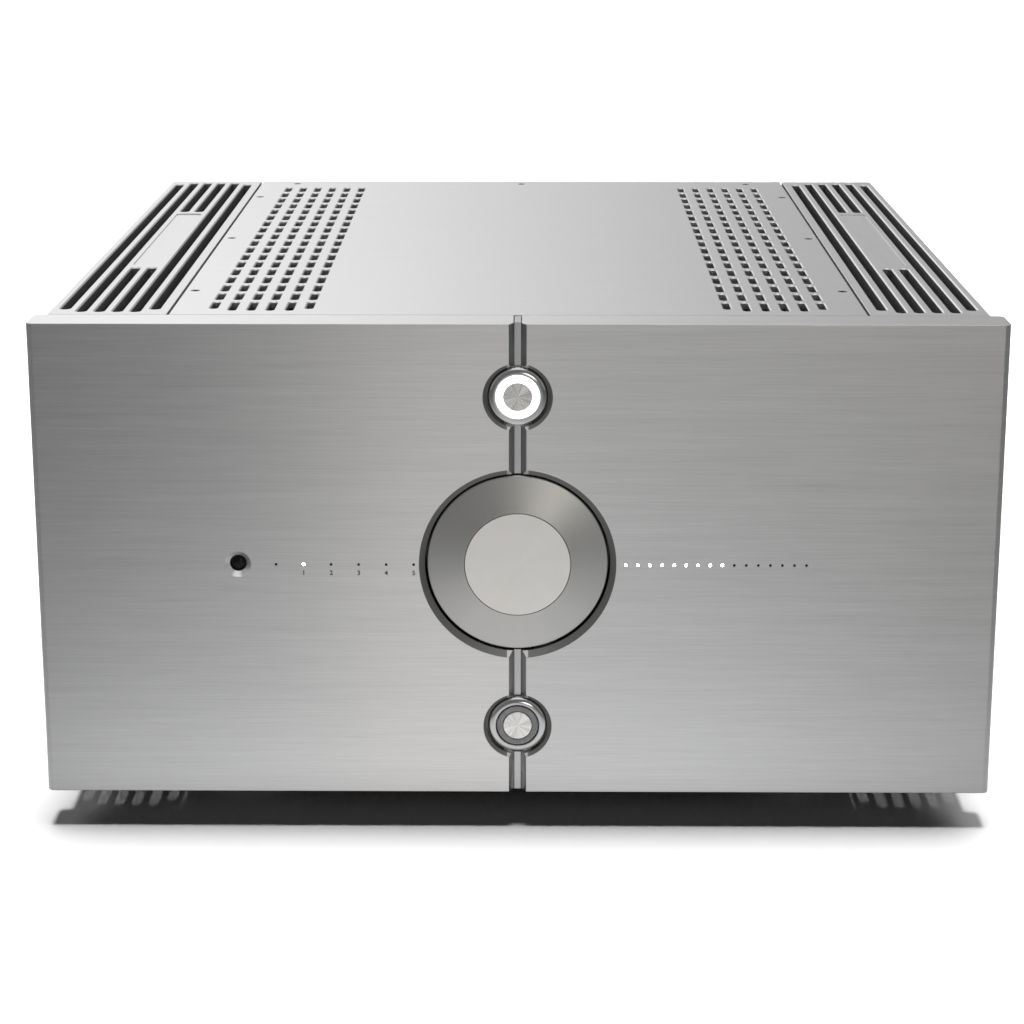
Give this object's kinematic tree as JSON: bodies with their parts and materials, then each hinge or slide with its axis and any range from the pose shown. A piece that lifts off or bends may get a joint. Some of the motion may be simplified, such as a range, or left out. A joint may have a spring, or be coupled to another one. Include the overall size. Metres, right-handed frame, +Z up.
{
  "type": "power amplifier",
  "caption": "Integrated stereo power amplifier: thick brushed split front panel, central knob between ring-lit buttons, slotted side heat sinks, vented cover.",
  "frame": {"origin": "centre of the footprint, on the surface that the feet stand on", "axes": "+X to the right seen from the front, +Y from the front panel to the rear, +Z up"},
  "size_m": [0.45, 0.444, 0.247],
  "materials": {
    "brushed_aluminium": "bare, horizontally brushed",
    "sink_aluminium": "bare, fine brushed, satin in the slots",
    "turned_aluminium": "turned, fine circular lines",
    "bright_chrome": "polished",
    "zinc_steel": "zinc plated",
    "lit_ring": "translucent, lit white",
    "dark_ring": "translucent, unlit",
    "light_guide": "clear moulded light guide",
    "dark_lens": "smoked, polished",
    "gold_plate": "gold plated",
    "black_paint": "fine textured black powder coat",
    "black_plastic": "moulded, satin",
    "circuit_board": "green solder mask",
    "winding_tape": "wound insulating tape",
    "capacitor_sleeve": "shrunk sleeve",
    "soft_rubber": "matte"
  },
  "bodies": {
    "chassis": {"front_panel_left": "brushed_aluminium", "front_panel_right": "brushed_aluminium", "center_spine": "brushed_aluminium", "top_cover": "brushed_aluminium", "heat_sink_left": "sink_aluminium", "heat_sink_right": "sink_aluminium", "foot_front_left": "turned_aluminium", "foot_front_right": "turned_aluminium", "foot_rear_left": "turned_aluminium", "foot_rear_right": "turned_aluminium", "button_bezel_upper": "bright_chrome", "button_bezel_lower": "bright_chrome", "sub_front_plate": "zinc_steel", "volume_encoder": "zinc_steel", "button_switch_upper": "zinc_steel", "button_switch_lower": "zinc_steel", "transformer_clamp": "zinc_steel", "button_light_ring_upper": "lit_ring", "button_light_ring_lower": "dark_ring", "input_light_guide": "light_guide", "level_light_guide": "light_guide", "receiver_window": "dark_lens", "speaker_post_left_negative": "gold_plate", "speaker_post_left_positive": "gold_plate", "speaker_post_right_negative": "gold_plate", "speaker_post_right_positive": "gold_plate", "phono_input_2": "gold_plate", "phono_input_3": "gold_plate", "phono_input_4": "gold_plate", "phono_input_5": "gold_plate", "cover_rail_left": "black_paint", "cover_rail_right": "black_paint", "bottom_plate": "black_paint", "rear_panel": "black_paint", "balanced_input_left": "black_paint", "balanced_input_right": "black_paint", "mains_inlet": "black_plastic", "input_display_board": "circuit_board", "level_display_board": "circuit_board", "power_supply_board": "circuit_board", "amplifier_board_left": "circuit_board", "amplifier_board_right": "circuit_board", "input_board": "circuit_board", "toroidal_transformer": "winding_tape", "filter_capacitor_front_left": "capacitor_sleeve", "filter_capacitor_front_right": "capacitor_sleeve", "filter_capacitor_rear_left": "capacitor_sleeve", "filter_capacitor_rear_right": "capacitor_sleeve", "transformer_pad": "soft_rubber"},
    "volume": {"volume_knob": "turned_aluminium", "volume_knob_disc": "turned_aluminium", "volume_shaft": "zinc_steel"},
    "button_upper": {"button_cap_upper": "turned_aluminium"},
    "button_lower": {"button_cap_lower": "turned_aluminium"},
    "rocker": {"mains_rocker": "black_plastic"},
    "fuse_drawer": {"fuse_drawer": "black_plastic"},
    "nut_left_negative": {"speaker_nut_left_negative": "gold_plate"},
    "nut_left_positive": {"speaker_nut_left_positive": "gold_plate"},
    "nut_right_negative": {"speaker_nut_right_negative": "gold_plate"},
    "nut_right_positive": {"speaker_nut_right_positive": "gold_plate"}
  },
  "joints": [
    {"name": "volume_turn", "type": "hinge", "parent": "chassis", "child": "volume", "pos_m": [0, -0.222, 0.132], "axis": [0, 1, 0], "continuous": true},
    {"name": "press_upper", "type": "slide", "parent": "chassis", "child": "button_upper", "axis": [0, 1, 0], "range_m": [0, 0.0013], "stiffness_N_per_m": 1000, "springref_m": -0.002},
    {"name": "press_lower", "type": "slide", "parent": "chassis", "child": "button_lower", "axis": [0, 1, 0], "range_m": [0, 0.0013], "stiffness_N_per_m": 1000, "springref_m": -0.002},
    {"name": "rocker_tip", "type": "hinge", "parent": "chassis", "child": "rocker", "pos_m": [0, 0.199, 0.0875], "axis": [1, 0, 0], "range_deg": [0, 20]},
    {"name": "fuse_drawer_slide", "type": "slide", "parent": "chassis", "child": "fuse_drawer", "axis": [0, 1, 0], "range_m": [0, 0.02]},
    {"name": "nut_turn_left_negative", "type": "hinge", "parent": "chassis", "child": "nut_left_negative", "pos_m": [-0.092, 0.198, 0.09], "axis": [0, 1, 0], "range_deg": [0, 1080]},
    {"name": "nut_turn_left_positive", "type": "hinge", "parent": "chassis", "child": "nut_left_positive", "pos_m": [-0.132, 0.198, 0.09], "axis": [0, 1, 0], "range_deg": [0, 1080]},
    {"name": "nut_turn_right_negative", "type": "hinge", "parent": "chassis", "child": "nut_right_negative", "pos_m": [0.092, 0.198, 0.09], "axis": [0, 1, 0], "range_deg": [0, 1080]},
    {"name": "nut_turn_right_positive", "type": "hinge", "parent": "chassis", "child": "nut_right_positive", "pos_m": [0.132, 0.198, 0.09], "axis": [0, 1, 0], "range_deg": [0, 1080]}
  ]
}
